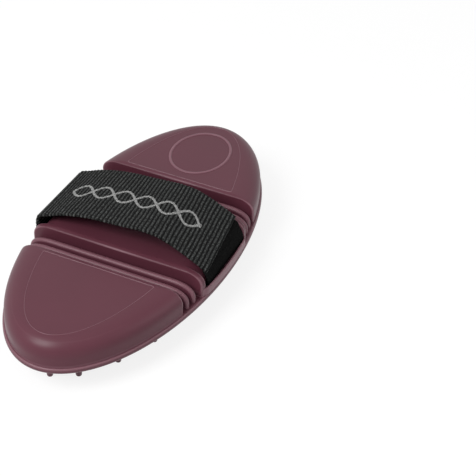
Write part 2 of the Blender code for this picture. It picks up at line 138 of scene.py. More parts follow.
def stack_piece(name, rings, sharp=40):
    points, quads, triangles = closed_stack(rings)
    piece = new_mesh(name, points, quads, triangles)
    piece.data.set_sharp_from_angle(angle=np.radians(sharp))
    print(f"{name}: {len(quads)} quads")
    return piece


# Rounds from the first radius to the second go from plain to palest, as wear and painted highlight.
PLAIN_EDGE_RADIUS, PALEST_EDGE_RADIUS = 3.0 * MM, 0.8 * MM
SHORTEST_STEP = 0.12 * MM
SEAM_REACH = 0.05 * MM


def mark_wear_and_highlight(piece, seams=()):
    """Stores how tightly the surface rounds outward at each point, as an attribute from 0 to 1.
    At a neighbour a step away the surface has dropped by step^2 / (2 radius), which gives
    1 / radius. Steps below the shortest count as that, because their drop is mostly rounding.
    The seams are planes x = +-seam where one piece meets the next. The edges there aren't real,
    so the points on them take the value of their neighbours inside the piece."""
    mesh = piece.data
    points, facing = (np.empty(len(mesh.vertices) * 3) for _ in range(2))
    mesh.vertices.foreach_get("co", points)
    mesh.vertex_normals.foreach_get("vector", facing)
    points, facing = points.reshape(-1, 3), facing.reshape(-1, 3)
    edges = np.empty(len(mesh.edges) * 2, dtype=np.int32)
    mesh.edges.foreach_get("vertices", edges)
    near, far = edges.reshape(-1, 2).T
    step = points[far] - points[near]
    squared = np.maximum((step**2).sum(1), SHORTEST_STEP**2)
    bend = np.zeros(len(points))
    np.maximum.at(bend, near, -2 * (facing[near] * step).sum(1) / squared)
    np.maximum.at(bend, far, 2 * (facing[far] * step).sum(1) / squared)
    at_seam = np.zeros(len(points), dtype=bool)
    for seam in seams:
        at_seam |= np.abs(np.abs(points[:, 0]) - seam) < SEAM_REACH
    bend[at_seam] = 0
    for on, inside in ((near, far), (far, near)):
        crossing = at_seam[on] & ~at_seam[inside]
        np.maximum.at(bend, on[crossing], bend[inside[crossing]])
    # The rubber shows these rounds paler, which stands partly for wear and partly for painted
    # highlight.
    low, high = 1 / PLAIN_EDGE_RADIUS, 1 / PALEST_EDGE_RADIUS
    rubbed = np.clip((bend - low) / (high - low), 0, 1)
    layer = mesh.attributes.new("rubbed", "FLOAT", "POINT")
    layer.data.foreach_set("value", rubbed)


def mirrored(rings):
    """The same pile at the other end of the brush. Turning x round also turns the outlines
    round, so their points run backwards to keep the faces outward."""
    rings = np.array(rings)
    rings[..., 0] *= -1
    return rings[:, ::-1]


# %% [markdown]
# ## The plan of a section
#
# Seen from above, each section is a stretch of the ellipse between one or two straight cuts. The
# ellipse gives two arcs, the cuts give straight lines, and where they meet the mould leaves a
# small round corner. A quadratic Bezier curve, from a little before the corner to a little after
# it, with the corner as its middle handle, rounds it without any circle fitting.

# %% Outline of a section
ARC_POINTS, LINE_POINTS, CORNER_POINTS = 90, 36, 7
# A cut this far out, in metres, misses the brush, so the section runs on to the tip.
NO_CUT = 1.0


def smooth_step(t):
    """0 below 0, 1 above 1, and 3 t^2 - 2 t^3 between."""
    t = np.clip(t, 0, 1)
    return t**2 * (3 - 2 * t)


def oval_side(x, inset):
    """Half the width of the oval at x, with the oval drawn in all round by the inset."""
    return (HALF_WIDTH - inset) * np.sqrt(1 - (x / (HALF_LENGTH - inset)) ** 2)


def bezier(a, b, c):
    """Points of (1-s)^2 a + 2 s (1-s) b + s^2 c for s from 0 to 1."""
    s = np.linspace(0, 1, CORNER_POINTS)[:, None]
    return (1 - s) ** 2 * a + 2 * s * (1 - s) * b + s**2 * c


def outline(half_x, half_y, start, end, corner, places=None):
    """Anticlockwise outline of the ellipse x = half_x cos t, y = half_y sin t between the cuts
    x = start and x = end. Without an end cut the arcs meet at the tip."""
    t_end = np.arccos(min(end / half_x, 1.0))
    t_start = np.arccos(start / half_x)

    def inward(t):
        return corner / np.hypot(half_x * np.sin(t), half_y * np.cos(t))

    has_end = end < half_x
    first = t_end + (inward(t_end) if has_end else 0)
    last = t_start - inward(t_start)
    t = np.linspace(first, last, ARC_POINTS)
    if places is not None:
        t = np.concatenate([[first], np.arccos(places / half_x), [last]])
    upper = np.stack([half_x * np.cos(t), half_y * np.sin(t)], 1)
    flip = np.array([1, -1])

    def cut(x, t_cut, side_point):
        y = half_y * np.sin(t_cut)
        turn = bezier(side_point, np.array([x, y]), np.array([x, y - corner]))[1:]
        line_y = np.linspace(y - corner, corner - y, LINE_POINTS)[1:-1]
        line = np.stack([np.full_like(line_y, x), line_y], 1)
        return np.concatenate([turn, line, (turn * flip)[::-1]])

    lower = (upper * flip)[::-1]
    parts = [upper, cut(start, t_start, upper[-1]), lower if has_end else lower[:-1]]
    if has_end:
        parts.append(cut(end, t_end, upper[0])[::-1])
    return np.concatenate(parts)


def at_height(plan, z):
    return np.concatenate([plan, np.full((len(plan), 1), z)], 1)


def capped(ring, shares):
    """Copies of a flat ring drawn in towards its middle, to cover the area inside it."""
    middle = ring.mean(0)
    return [middle + (ring - middle) * share for share in shares]


# %% [markdown]
# ## The rubber backs
#
# Each back is a hollow rubber block. Its outer edge rolls over in a quarter round at the tip and
# in a much wider, flatter one along the sides. The edge along a groove has only a small radius
# with a shallow slope behind it, which catches the two fine lines of light beside every groove.
# The outline at each height is drawn in by a different amount on each kind of edge. Because one
# function of height gives each amount, the roundings share the same levels and join cleanly at
# the corners.

# %% Rounded edges of a back
SHOULDER_RADIUS = 7.6 * MM
SHOULDER_END = np.radians(79)
SIDE_WIDTH, SIDE_DROP, SIDE_POWER = 12.6 * MM, 7.0 * MM, 2.6
CREST_RADIUS = 0.7 * MM
CREST_END = np.radians(80)
SLOPE_DROP = 0.26 * MM
SLOPE_WIDTH = 1.3 * MM
BACK_FOOT = SOLE_TOP - 0.05 * MM
TOP_SHARES = (0.04, 0.2, 0.45, 0.7, 0.88, 0.97)
BEAD_SHARES, BEAD_RISE = (0.983, 0.988, 0.993, 0.998), 0.12 * MM
END_CORNER, MIDDLE_CORNER, CAVITY_CORNER = 1.2 * MM, 1.0 * MM, 0.8 * MM


def round_inset(z, top, radius, end):
    """How far a quarter round of this radius has drawn in at height z. The round stops short
    of level, at the angle end, so the flat top begins with a faint line."""
    sine = np.clip(np.sin(end) - (top - z) / radius, 0, np.sin(end))
    return radius * (1 - np.sqrt(1 - sine**2))


def side_inset(z):
    """The same along the sides, where the round is a quarter of the wide superellipse
    (y / width)^p + (z / drop)^p = 1."""
    height = np.clip(1 - (BACK_TOP - z) / SIDE_DROP, 0, 1)
    return SIDE_WIDTH * (1 - (1 - height**SIDE_POWER) ** (1 / SIDE_POWER))


def crest_inset(z):
    """The tight round along a groove, then the shallow slope up to the flat top."""
    foot = BACK_TOP - SLOPE_DROP
    slope = np.clip((z - foot) / SLOPE_DROP, 0, 1) * SLOPE_WIDTH
    return round_inset(np.minimum(z, foot), foot, CREST_RADIUS, CREST_END) + slope


def half_axes(z):
    """Half length and half width of the oval at height z."""
    tip = round_inset(z, BACK_TOP, SHOULDER_RADIUS, SHOULDER_END)
    return HALF_LENGTH - BACK_INSET - tip, HALF_WIDTH - BACK_INSET - side_inset(z)


def back_levels():
    shoulder = np.sin(SHOULDER_END) - np.sin(np.linspace(0, SHOULDER_END, 16))
    crest = np.sin(CREST_END) - np.sin(np.linspace(0, CREST_END, 7))
    levels = np.concatenate(
        [
            BACK_TOP - shoulder * SHOULDER_RADIUS,
            BACK_TOP - SLOPE_DROP - crest * CREST_RADIUS,
            BACK_TOP - np.array([0.004, 0.012, 0.03, 0.06, 0.11]) * MM,
            np.linspace(BACK_FOOT, BACK_TOP - SHOULDER_RADIUS, 4)[:-1],
        ]
    )
    return np.unique(np.round(levels, 7))[::-1]


# %% [markdown]
# The inside is drawn the same way, from the foot of the wall up to the roof of the hollow. It
# is never seen, but with it the piece is a real wall of rubber round its core.

# %% Hollow side
SIDE_WALL, END_WALL, ROOF = 4.6 * MM, 2.6 * MM, 3.0 * MM
CAVITY_ROUND = 6.0 * MM


def cavity_rings(start, end, places=None):
    rings = []
    top = BACK_TOP - ROOF
    turn = np.linspace(0, np.pi / 2, 7)
    heights = np.concatenate([[BACK_FOOT], top - CAVITY_ROUND * (1 - np.sin(turn))])
    insets = np.concatenate([[0], CAVITY_ROUND * (1 - np.cos(turn))])
    for z, inset in zip(heights, insets):
        drawn = BACK_INSET + SIDE_WALL + inset
        plan = outline(
            HALF_LENGTH - drawn, HALF_WIDTH - drawn, start + END_WALL, end - END_WALL,
            CAVITY_CORNER, places,
        )
        rings.append(at_height(plan, z))
    return rings + capped(rings[-1], TOP_SHARES[::-1])


def flat_top(ring):
    """The flat inside the first outline, with a fine raised bead along its border."""
    bead = capped(ring, BEAD_SHARES)
    for raised in bead[1:3]:
        raised[:, 2] += BEAD_RISE
    return capped(ring, TOP_SHARES) + bead


def end_back_rings():
    rings = []
    for z in back_levels():
        start = END_START + crest_inset(z)
        plan = outline(*half_axes(z), start, NO_CUT, END_CORNER)
        rings.append(at_height(plan, z))
    return flat_top(rings[0]) + rings + cavity_rings(END_START, NO_CUT)


# %% Front and rear backs
front_back = stack_piece("front_back_skin", end_back_rings())
rear_back = stack_piece("rear_back_skin", mirrored(end_back_rings()))

# %% [markdown]
# ## The middle back and its strap pockets
#
# On both long sides the middle back has a shallow pocket as wide as the strap, with a slot at
# its foot where the webbing goes in. Cutting it with a Boolean would leave ragged shading on the
# round shoulder. Instead the outline itself steps in: between two stations along X, a point is
# pulled back to the pocket's floor, which is a slimmer and rounder copy of the same oval.

# %% Pocket shape
POCKET_DEPTH = 2.4 * MM
POCKET_ROUND = 9.0 * MM
POCKET_HALF = 19.4 * MM
SLOT_FOOT = 15.3 * MM
SLOT_HEAD = 17.5 * MM
SLOT_DEPTH = 2.0 * MM
STEP = np.array([-0.45, -0.28, -0.1, 0.1, 0.28, 0.45]) * MM
PLAIN_HALF = 18.0 * MM
OUTER_STATION = POCKET_HALF + 1.0 * MM


def stations(end, corner):
    """Places along X for the points of the arcs, close together at the pocket's two ends. The
    outermost are squeezed in where a section is too short for them."""
    plain = np.linspace(-PLAIN_HALF, PLAIN_HALF, 41)
    outer = np.concatenate([POCKET_HALF + STEP, [OUTER_STATION]])
    room = min(OUTER_STATION, end - corner - 0.1 * MM) - PLAIN_HALF
    outer = PLAIN_HALF + (outer - PLAIN_HALF) * room / (OUTER_STATION - PLAIN_HALF)
    return np.concatenate([outer[::-1], plain[::-1], -outer])


def pulled_back(plan, z, slot):
    """Moves the points beside the strap in to the pocket's floor, or to the slot's."""
    x, y = plan.T
    share = smooth_step((POCKET_HALF + STEP[-1] - np.abs(x)) / (2 * STEP[-1]))
    inset = BACK_INSET + POCKET_DEPTH + round_inset(z, BACK_TOP, POCKET_ROUND, np.pi / 2)
    floor = oval_side(x, inset)
    if slot:
        floor = np.minimum(floor, HALF_WIDTH - BACK_INSET - POCKET_DEPTH - SLOT_DEPTH)
    beyond = np.maximum(np.abs(y) - floor, 0)
    return np.stack([x, y - np.sign(y) * beyond * share], 1)


def middle_back_rings():
    levels = [(z, "pocket") for z in back_levels() if z > SLOT_HEAD]
    levels += [(SLOT_HEAD, "pocket"), (SLOT_HEAD, "slot"), (SLOT_FOOT, "slot")]
    levels += [(SLOT_FOOT, "wall"), (BACK_FOOT, "wall")]
    rings = []
    for z, kind in levels:
        end = MIDDLE_END - crest_inset(z)
        places = stations(end, MIDDLE_CORNER)
        plan = outline(*half_axes(z), -end, end, MIDDLE_CORNER, places)
        if kind != "wall":
            plan = pulled_back(plan, z, kind == "slot")
        rings.append(at_height(plan, z))
    places = stations(MIDDLE_END - END_WALL, CAVITY_CORNER)
    inside = cavity_rings(-MIDDLE_END, MIDDLE_END, places)
    return capped(rings[0], TOP_SHARES) + rings + inside


middle_back = stack_piece("middle_back_skin", middle_back_rings())

# %% [markdown]
# ## The ridges
#
# Two low ribs cross each bending zone and run down both sides. A rib is a thin plate cut to the
# section of the back, with its edge rounded over. This time the pile of outlines stands on its
# side: it starts on one face of the plate, goes over the rounded edge, and ends on the other.

# %% Ridges
RIDGE_WIDTH = 2.5 * MM
RIDGE_TOP = BACK_TOP - 2.9 * MM
RIDGE_ROUND = 1.15 * MM
RIDGE_SIDE_DROP = 0.6 * MM


def section_outline(half_width, top, drawn):
    """Outline in Y and Z: up the right side, over the two round shoulders and down the left,
    drawn in all round by one amount."""
    turn = np.linspace(0, np.pi / 2, 24)
    across, up = np.cos(turn).clip(0) ** (2 / SIDE_POWER), np.sin(turn) ** (2 / SIDE_POWER)
    flat_half = half_width - SIDE_WIDTH
    right = np.stack(
        [flat_half + (SIDE_WIDTH - drawn) * across,
         top - SIDE_DROP + (SIDE_DROP - drawn) * up], 1
    )
    flat = np.linspace(flat_half, -flat_half, 30)[1:-1]
    roof = np.stack([flat, np.full_like(flat, top - drawn)], 1)
    left = (right * [-1, 1])[::-1]
    foot = np.linspace(drawn - half_width, half_width - drawn, 30)
    base = np.stack([foot, np.full_like(foot, BACK_FOOT)], 1)
    return np.concatenate([right, roof, left, base])


def ridge_rings(x):
    half = oval_side(x, BACK_INSET) - RIDGE_SIDE_DROP
    turn = np.linspace(0, np.pi / 2, 7)
    offset = RIDGE_WIDTH / 2 - RIDGE_ROUND * (1 - np.sin(turn))
    inset = RIDGE_ROUND * (1 - np.cos(turn))
    xs = np.concatenate([offset[::-1], -offset])
    insets = np.concatenate([inset[::-1], inset])
    rings = []
    for dx, drawn in zip(xs, insets):
        section = section_outline(half, RIDGE_TOP, drawn)
        rings.append(np.insert(section, 0, x + dx, axis=1))
    return capped(rings[0], (0.1, 0.6)) + rings + capped(rings[-1], (0.6, 0.1))


ridges = {}
for place, (low, high) in {"inner": FLEX_LINES[:2], "outer": FLEX_LINES[1:]}.items():
    rings = ridge_rings((low + high) / 2)
    ridges["front", place] = stack_piece(f"front_ridge_{place}_skin", rings)
    ridges["rear", place] = stack_piece(f"rear_ridge_{place}_skin", mirrored(rings))

# %% [markdown]
# ## The sole
#
# Below the backs runs one sheet of rubber with a rounded rim. Under each back it thickens into a
# pad, and the pad's edge is a soft raised bead. Two fine steps follow the rim. All of that is
# one profile, a list of how far in and how high, that is carried round the outline.

# %% Profile of the sole
# Each row: drawn in at the rim, drawn in at a straight cut, height. Millimetres.
RIM = (
    (0.90, 0.0, 14.60), (0.50, 0.0, 14.50), (0.20, 0.0, 14.22), (0.04, 0.0, 13.80),
    (0.00, 0.0, 13.30), (0.05, 0.0, 12.85), (0.22, 0.0, 12.42), (0.52, 0.0, 12.12),
    (0.95, 0.0, 12.00), (1.30, 0.0, 12.00), (1.42, 0.0, 12.14), (1.55, 0.0, 12.20),
    (2.05, 0.0, 12.20), (2.18, 0.0, 12.14), (2.30, 0.0, 12.02), (2.60, 0.0, 12.00),
)
PAD_EDGE = (
    (5.60, 0.00, 12.00), (6.00, 0.15, 11.97), (6.30, 0.42, 11.82), (6.45, 0.58, 11.50),
    (6.52, 0.66, 11.00), (6.62, 0.78, 10.55), (6.85, 1.02, 10.32), (7.20, 1.36, 10.24),
    (7.60, 1.76, 10.30), (8.00, 2.16, 10.44), (8.40, 2.56, 10.50),
)
SOLE_CORNER, PAD_CORNER = 0.02 * MM, 3.4 * MM


def sole_ring(row, start, end, corner):
    rim, cut, z = np.array(row) * MM
    plan = outline(HALF_LENGTH - rim, HALF_WIDTH - rim, start + cut, end - cut, corner)
    return at_height(plan, z)


def sole_rings(start, end, pad_start, pad_end):
    rings = [sole_ring(row, start, end, SOLE_CORNER) for row in RIM]
    rings = capped(rings[0], TOP_SHARES) + rings
    rings += [sole_ring(row, pad_start, pad_end, PAD_CORNER) for row in PAD_EDGE]
    return rings + capped(rings[-1], (0.97, 0.85, 0.6, 0.3, 0.08))


def strip_rings(start, end):
    """A stretch of plain sheet with the same rim, as a pile of sections along X."""
    rim, _, z = np.array(RIM).T * MM
    rings = []
    for x in np.linspace(end, start, 9):
        side = oval_side(x, rim)
        right = np.stack([side, z], 1)[::-1]
        roof = np.linspace(side[0], -side[0], 40)[1:-1]
        floor = np.linspace(-side[-1], side[-1], 40)[1:-1]
        ring = np.concatenate(
            [
                right,
                np.stack([roof, np.full_like(roof, z[0])], 1),
                (right * [-1, 1])[::-1],
                np.stack([floor, np.full_like(floor, z[-1])], 1),
            ]
        )
        rings.append(np.insert(ring, 0, x, axis=1))
    return rings


# %% [markdown]
# The solids are split at each bending line, with a gap that the real rubber does not have. So the
# dressed sheet is split in other places, under the ridges and backs where no seam shows, and each
# strip crosses one bending line.

# %% Soles and bending strips
PAD_CHANNEL = 9.8 * MM
SOLE_GAP = 0.2 * MM
MIDDLE_SOLE_END = FLEX_LINES[0] - SOLE_GAP
END_SOLE_START = FLEX_LINES[2] + SOLE_GAP
MIDDLE_PAD_END = FLEX_LINES[1] - PAD_CHANNEL / 2
END_PAD_START = FLEX_LINES[1] + PAD_CHANNEL / 2
SEAMS = [
    MIDDLE_SOLE_END, sum(FLEX_LINES[:2]) / 2, sum(FLEX_LINES[1:]) / 2, END_SOLE_START,
]

middle_sole = stack_piece(
    "middle_sole_skin",
    sole_rings(-MIDDLE_SOLE_END, MIDDLE_SOLE_END, -MIDDLE_PAD_END, MIDDLE_PAD_END),
)
end_sole_rings = sole_rings(END_SOLE_START, NO_CUT, END_PAD_START, NO_CUT)
front_sole = stack_piece("front_sole_skin", end_sole_rings)
rear_sole = stack_piece("rear_sole_skin", mirrored(end_sole_rings))
strips = {}
for number, place in enumerate(("inner", "middle", "outer")):
    rings = strip_rings(SEAMS[number], SEAMS[number + 1])
    strips["front", place] = stack_piece(f"front_bend_{place}", rings)
    strips["rear", place] = stack_piece(f"rear_bend_{place}", mirrored(rings))

# %% [markdown]
# ## Mould marks
#
# The pads carry a few small round holes, left by pins in the mould. They are real recesses, so
# small cylinders are cut out with a Boolean. On a flat face that leaves clean shading.

# %% Pin holes
PIN_RADIUS = 0.75 * MM
PIN_DEPTH = 1.3 * MM
MIDDLE_PINS = np.array(
    [(-17, 28), (-5.6, 27.7), (17.2, 16.6), (-16.4, 5.6), (5.4, -5.6), (11, -16.6),
     (-16.6, -16.8), (5.6, -27.7), (-11, -33.0), (11.2, 33.0)]
) * MM
END_PINS = np.array([(41.4, 4.9), (51.8, -5.0), (62.4, 4.9), (46.6, -14.8), (57.2, 14.8),
                     (41.2, 23.8), (51.6, -23.6)]) * MM


def pin_cutters(name, places):
    """Short cylinders standing in the face of a pad, one at each place."""
    turn = np.linspace(0, 2 * np.pi, 20, endpoint=False)
    circle = np.stack([np.cos(turn), np.sin(turn)], 1) * PIN_RADIUS
    points, quads, triangles, first = [], [], [], 0
    for x, y in places:
        top = at_height(circle + [x, y], PAD_FACE + PIN_DEPTH)
        low = at_height(circle + [x, y], PAD_FACE - MM)
        part = closed_stack([top, low], first)
        points.append(part[0])
        quads.append(part[1])
        triangles.append(part[2])
        first += len(part[0])
    return new_mesh(name, *(np.concatenate(p) for p in (points, quads, triangles)))


def with_pins(piece, places):
    """The piece with its pin holes cut, as one plain mesh."""
    cutter = pin_cutters(piece.name + "_pins", places)
    cut = piece.modifiers.new("pins", "BOOLEAN")
    cut.object = cutter
    cut.operation = "DIFFERENCE"
    cut.solver = "EXACT"
    graph = bpy.context.evaluated_depsgraph_get()
    mesh = bpy.data.meshes.new_from_object(piece.evaluated_get(graph))
    piece.modifiers.clear()
    piece.data = mesh
    bpy.data.objects.remove(cutter)
    mesh.set_sharp_from_angle(angle=np.radians(40))
    print(piece.name, "with pins:", len(mesh.polygons), "faces")


with_pins(middle_sole, MIDDLE_PINS)
with_pins(front_sole, END_PINS)
with_pins(rear_sole, END_PINS * [-1, 1])

# %% [markdown]
# ## The teeth
#
# Each tooth is a blunt thorn: a slim cone that flares out at its foot, so the rubber does not
# tear there, and a rounded tip. Seventy-one of them are alike, so one profile is turned round
# an axis and the result is added to every place in the pattern at once, by broadcasting.

# %% Teeth
TOOTH_SIDES = 20
END_PITCH, END_FIRST, MIDDLE_LAST = 10.8, 35.8, 21.8
# Teeth in the row, distance from the centre line, then the first tooth's place in the row on an
# end pad, and the last tooth's as a share of the longest row on the middle pad. Millimetres.
END_ROWS = ((5, 0.0, 0.0), (4, 10.4, 5.4), (3, 20.8, 1.8), (1, 28.4, 5.6))
MIDDLE_ROWS = ((5, 0.0, 1.0), (4, 11.1, 0.75), (5, 22.2, 1.0), (3, 33.6, 0.78))


def tooth_profile():
    """Radius and height. With t the share of the way up from the tip, the radius is
    1.22 + 0.95 t + 1.3 t^5 + 0.7 t^30 millimetres, times a quarter circle over the first
    0.9 mm that rounds the tip."""
    height = PAD_FACE / MM
    t = np.concatenate([(1 - np.cos(np.linspace(0.25, 1.5, 6))) * 0.1, [0.16, 0.28, 0.42, 0.55]])
    t = np.concatenate([t, [0.67, 0.77, 0.85, 0.91, 0.95, 0.98, 1.0, 1.02]])
    radius = 1.22 + 0.95 * t + 1.3 * t**5 + 0.7 * t**30
    tip = np.clip(t * height / 0.9, 0, 1)
    radius = radius * np.sqrt(1 - (1 - tip) ** 2)
    return radius * MM, t * height * MM


def both_sides(rows):
    return [(n, side * y, rest) for n, y, rest in rows for side in ((1, -1) if y else (1,))]


def middle_places():
    rows = both_sides(MIDDLE_ROWS)
    return np.array(
        [(last * MIDDLE_LAST * (2 * i / (n - 1) - 1), y) for n, y, last in rows for i in range(n)]
    )


def end_places():
    rows = both_sides(END_ROWS)
    return np.array([(END_FIRST + b + i * END_PITCH, y) for n, y, b in rows for i in range(n)])


def tooth_piece(name, places):
    radius, height = tooth_profile()
    turn = np.linspace(0, 2 * np.pi, TOOTH_SIDES, endpoint=False)
    rings = np.zeros((len(radius), TOOTH_SIDES, 3))
    rings[..., 0] = radius[:, None] * np.cos(turn)
    rings[..., 1] = radius[:, None] * np.sin(turn)
    rings[..., 2] = height[:, None]
    points, quads, triangles = closed_stack(rings[::-1])
    offsets = np.insert(np.asarray(places) * MM, 2, 0, axis=1)
    step = (np.arange(len(places)) * len(points))[:, None, None]
    return new_mesh(
        name,
        (points[None] + offsets[:, None]).reshape(-1, 3),
        (quads[None] + step).reshape(-1, 4),
        (triangles[None] + step).reshape(-1, 3),
    )


middle_teeth = tooth_piece("middle_teeth", middle_places())
front_teeth = tooth_piece("front_teeth", end_places())
rear_teeth = tooth_piece("rear_teeth", end_places() * [-1, 1])
print("teeth:", len(middle_places()) + 2 * len(end_places()))

# %% [markdown]
# ## The strap
#
# The strap is ribbed webbing. It starts sewn round a wire rod inside the brush, comes out of the
# left slot, turns up, and arches over the hand to its free end. One ribbon runs from inside the
# slot to the free end. A second makes the hem round the rod. The path over the hand is a handful of
# measured points with a smooth curve through them.

# %% Path of the strap
STRAP_HALF = 19.0 * MM
BAND_THICKNESS = 1.6 * MM
PATCH_THICKNESS, TAPE_THICKNESS = 0.8 * MM, 1.0 * MM
PATCH_LENGTH, TAPE_LAP = 22 * MM, 20 * MM
# From the middle of the webbing to the middle of each tape under it.
PATCH_OFFSET, TAPE_OFFSET = 1.25 * MM, 2.2 * MM
FINE_STEP, ARCH_STEP, TAPE_STEP = 0.15 * MM, 0.2 * MM, 0.4 * MM
CLEAR = 0.3 * MM
POCKET_FLOOR = HALF_WIDTH - BACK_INSET - POCKET_DEPTH
BAND_Y = POCKET_FLOOR + CLEAR + BAND_THICKNESS / 2
TAIL_Z = SLOT_FOOT + CLEAR + BAND_THICKNESS / 2
HAND_GAP = 10.2 * MM
# Share of the half width, share of the hand gap
ARCH = (
    (0.91, 0.07), (0.82, 0.22), (0.69, 0.45), (0.50, 0.68), (0.30, 0.82), (0.05, 0.90),
    (-0.12, 0.96), (-0.27, 1.00), (-0.42, 0.94), (-0.57, 0.73), (-0.72, 0.44),
    (-0.85, 0.15), (-0.905, 0.0),
)


def smooth_path(points, step):
    """A Catmull-Rom curve through the points, resampled at equal steps of its length."""
    p = np.asarray(points, float)
    p = np.concatenate([[2 * p[0] - p[1]], p, [2 * p[-1] - p[-2]]])
    t = np.linspace(0, 1, 24, endpoint=False)[None, :, None]
    a, b, c, d = (p[i : len(p) - 3 + i, None] for i in range(4))
    fine = 0.5 * (2 * b + (c - a) * t + (2 * a - 5 * b + 4 * c - d) * t**2
                  + (3 * b - a - 3 * c + d) * t**3)
    return resampled(np.concatenate([fine.reshape(-1, 2), p[-2:-1]]), step)


def lengths(path):
    """Distance along the path at each of its points."""
    return np.concatenate([[0], np.cumsum(np.linalg.norm(np.diff(path, axis=0), axis=1))])


def between(wanted, known, rows):
    """The rows at the wanted distances, where known holds the distance of each row given."""
    return np.stack([np.interp(wanted, known, rows[:, i]) for i in (0, 1)], -1)


def resampled(path, step):
    """The path with points at equal steps, as near to the step asked for as fits."""
    along = lengths(path)
    even = np.linspace(0, along[-1], max(3, round(along[-1] / step) + 1))
    return between(even, along, path)


def normals(path):
    """Unit vectors square to the path, a quarter turn to the left of its direction."""
    tangent = np.gradient(path, axis=0)
    tangent /= np.linalg.norm(tangent, axis=1)[:, None]
    return np.stack([-tangent[:, 1], tangent[:, 0]], 1)


def last_stretch(path, start, end):
    """The part of a path between two distances measured back from its end."""
    along = lengths(path)
    return between(along[-1] - np.linspace(start, end, 40), along, path)


def arc(centre, radius, start, end, count):
    """Points of a circle from one angle to another, in degrees."""
    turn = np.radians(np.linspace(start, end, count))
    return np.array(centre) + radius * np.stack([np.cos(turn), np.sin(turn)], 1)


ROD_LEFT = [(lo + hi) / 2 for lo, hi in zip(*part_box("strap_rod_left"))]
ROD_RIGHT = [(lo + hi) / 2 for lo, hi in zip(*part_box("strap_rod_right"))]
arch_y = [share * HALF_WIDTH for share, _ in ARCH]
arch_z = [BACK_TOP + BAND_THICKNESS / 2 + HAND_GAP * height for _, height in ARCH]
up_z = (SLOT_HEAD, BACK_TOP - SHOULDER_RADIUS, BACK_TOP - BAND_THICKNESS)
over_hand = smooth_path([(BAND_Y, z) for z in up_z] + list(zip(arch_y, arch_z)), ARCH_STEP)
TURN = 1.4 * MM
in_slot = [(ROD_LEFT[1] + 4.0 * MM, TAIL_Z), (BAND_Y - TURN, TAIL_Z)]
corner = arc((BAND_Y - TURN, TAIL_Z + TURN), TURN, -90, 0, 9)
band_path = resampled(np.concatenate([in_slot, corner, over_hand]), FINE_STEP)
BAND_LENGTH = lengths(band_path)[-1]
hem = arc(ROD_LEFT[1:], ROD_LEFT[2] - TAIL_Z, 70, 270, 24)
hem_path = resampled(np.concatenate([hem, [(ROD_LEFT[1] + 4.2 * MM, TAIL_Z)]]), TAPE_STEP)

patch_path = over_hand + normals(over_hand) * PATCH_OFFSET
patch_path = resampled(last_stretch(patch_path, PATCH_LENGTH, CLEAR), TAPE_STEP)

# The loop tape starts under the band, falls in an arc behind the wall, turns in through the slot
# and ends in a hem round its rod.
tape_on_strap = last_stretch(over_hand + normals(over_hand) * TAPE_OFFSET, TAPE_LAP, 0.0)
tape_down = arc((-31.3 * MM, 17.4 * MM), 9.8 * MM, 180 - 40, 180, 16)
tape_turn = np.array([(-41.1, 17.6), (-40.8, 16.7), (-39.9, 16.4), (-38.1, 16.4)]) * MM
tape_hem = arc(ROD_RIGHT[1:], 2.3 * MM, -90, 110, 24)
tape_path = smooth_path(
    np.concatenate([tape_on_strap[::3], tape_down[::3], tape_turn, tape_hem[::3]]), TAPE_STEP
)
for name, path in (("webbing", band_path), ("hook patch", patch_path), ("loop tape", tape_path)):
    print(f"{name}: {lengths(path)[-1] / MM:.1f} mm along its path")

# %% [markdown]
# A flat strap is a sweep: its section is a thin bar with round selvedges, and it is carried along
# the path so that its flat sides stay square to the path's normal. The cross ribs are real. The
# thickness swells and shrinks with |sin| of the distance, which gives round ribs with a sharp
# furrow between them, and the distance wanders a little, as it does in woven cloth. Distance and
# place across the strap are kept as a UV map for the weave.
#
# The strap in the photograph is fastened a little askew. So a point across the strap is taken
# from another place along the path, moved by x times the skew. The skew grows as a smooth step
# towards the free end.

# %% Ribbons
RIB_PITCH = 1.8 * MM
RIB_DEPTH = 0.4 * MM
WOBBLE, WOBBLE_LENGTH, WOBBLE_WIDTH = 0.07 * MM, 4.1 * MM, 2.2 * MM
SKEW = 0.135
# Shares of the strap's length: where the skew sets in, and the stretch over which it grows.
SKEW_START, SKEW_SPAN = 0.2, 0.7
RUN_ON = 20
TAPE_HALF, TAPE_SHIFT = 17.9 * MM, 1.5 * MM


def along_band(s, x, path, skew):
    """Points and normals in Y and Z at distance s - x skew(s) along the path, where the skew
    rises as a smooth step. The path runs straight on at its end by RUN_ON of its points, for the
    edge that is taken from beyond it."""
    share = smooth_step((s - SKEW_START * BAND_LENGTH) / (SKEW_SPAN * BAND_LENGTH))
    place = s - x * skew * share
    long_path = np.concatenate([path, [2 * path[-1] - path[-1 - RUN_ON]]])
    known = lengths(long_path)
    return between(place, known, long_path), between(place, known, normals(long_path))


def rib(s, x):
    """Height of the ribs, 0 to 1, at distance s along and x across: |sin(pi (s + w) / pitch)|,
    where w = wobble sin(s / length + x / width) makes them wander as woven ribs do."""
    wander = WOBBLE * np.sin(s / WOBBLE_LENGTH + x / WOBBLE_WIDTH)
    return np.abs(np.sin(np.pi * (s + wander) / RIB_PITCH))


